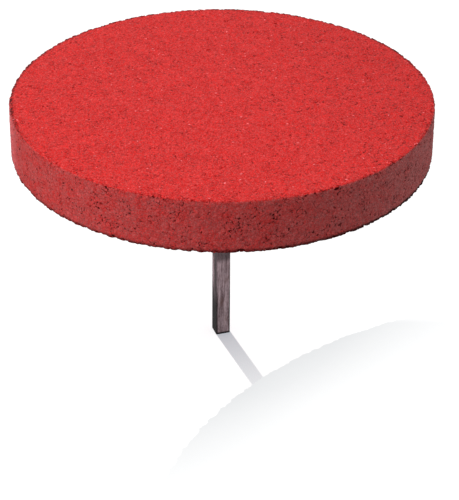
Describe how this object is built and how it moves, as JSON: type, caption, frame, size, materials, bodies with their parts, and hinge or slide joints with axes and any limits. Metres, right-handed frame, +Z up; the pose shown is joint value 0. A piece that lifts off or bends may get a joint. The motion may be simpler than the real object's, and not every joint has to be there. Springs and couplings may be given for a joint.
{
  "type": "ground marker",
  "caption": "Round marker disc of red bonded rubber granulate, held clear of the ground by a square steel spike that screws into a steel insert moulded in the disc.",
  "frame": {"origin": "on the spike's axis at ground level, where the bar enters the ground", "axes": "+Z up along the spike's axis towards the disc; X and Y square to the flats of the bar"},
  "size_m": [0.28, 0.28, 0.3365],
  "materials": {
    "red_granulate": "matt, granular, with dark pits between the granules",
    "plate_steel": "hot-rolled, unpainted",
    "turned_steel": "turned",
    "weld_metal": "as welded, rippled",
    "mill_scale_steel": "dark mill scale, streaked along the bar",
    "zinc_plated_steel": "zinc plated, satin",
    "spring_steel": "blackened spring steel"
  },
  "bodies": {
    "root": {"rubber_disc": "red_granulate", "anchor_plate": "plate_steel", "threaded_boss": "turned_steel", "boss_weld": "weld_metal", "spike": "mill_scale_steel", "backing_washer": "zinc_plated_steel", "spring_washer": "spring_steel", "lock_nut": "zinc_plated_steel"}
  },
  "joints": []
}
